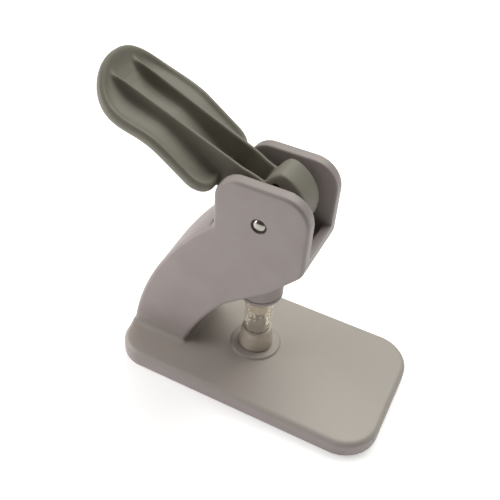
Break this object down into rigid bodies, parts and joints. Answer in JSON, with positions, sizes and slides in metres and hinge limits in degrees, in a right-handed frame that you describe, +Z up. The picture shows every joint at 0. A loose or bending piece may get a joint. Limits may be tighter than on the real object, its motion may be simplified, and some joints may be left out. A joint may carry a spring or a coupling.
{
  "type": "hand lever press",
  "caption": "Small plastic hand lever press with a C-shaped frame, a cam lever thrown back, a sprung plunger, a clear guard tube and a lower die cup.",
  "frame": {"origin": "on the plunger axis at the flat underside", "axes": "+X towards the front edge of the base, +Y to the left seen from behind the base, across the ears and along the lever's pivot, +Z up along the plunger"},
  "size_m": [0.1236, 0.06, 0.1222],
  "materials": {
    "body_plastic": "fine matte, pale mauve grey",
    "lever_plastic": "fine matte, dark olive grey",
    "bright_steel": "polished, plated",
    "dark_steel": "dark satin",
    "spring_steel": "satin wire",
    "clear_plastic": "clear moulded plastic",
    "cream_plastic": "translucent cream, soft gloss",
    "white_nylon": "waxy matte",
    "grey_rubber": "matte"
  },
  "bodies": {
    "frame": {"press_body": "body_plastic", "base_cover": "body_plastic", "anti_slip_pad": "grey_rubber", "cover_screw_front_left": "bright_steel", "cover_screw_front_right": "bright_steel", "cover_screw_rear_left": "bright_steel", "cover_screw_rear_right": "bright_steel", "die_screw": "bright_steel", "die_cup": "cream_plastic", "die_post": "bright_steel", "plunger_guide": "body_plastic", "guide_end_ring": "body_plastic", "return_spring": "spring_steel", "guard_spring": "spring_steel", "pivot_pin": "bright_steel", "pin_push_nut": "bright_steel", "hub_spacer_near": "white_nylon", "hub_spacer_far": "white_nylon"},
    "lever": {"handle_lever": "lever_plastic"},
    "plunger": {"plunger_cap": "white_nylon", "plunger_rod": "bright_steel", "rod_clip": "bright_steel", "punch_holder": "cream_plastic", "punch_tip": "dark_steel"},
    "guard": {"clear_guard": "clear_plastic"}
  },
  "joints": [
    {"name": "lever_hinge", "type": "hinge", "parent": "frame", "child": "lever", "pos_m": [0.003, 0, 0.0813], "axis": [0, 1, 0], "range_deg": [0, 150], "stiffness_Nm_per_rad": 0.0068, "springref_deg": -166.16},
    {"name": "plunger_slide", "type": "slide", "parent": "frame", "child": "plunger", "axis": [0, 0, -1], "range_m": [0, 0.0072], "deforming": ["return_spring"]},
    {"name": "guard_slide", "type": "slide", "parent": "frame", "child": "guard", "axis": [0, 0, 1], "range_m": [0, 0.005], "stiffness_N_per_m": 120, "springref_m": -0.003, "deforming": ["guard_spring"]}
  ],
  "couplings": [
    {"joint": "plunger_slide", "follows": "lever_hinge", "m_per_rad": 0.00275}
  ]
}
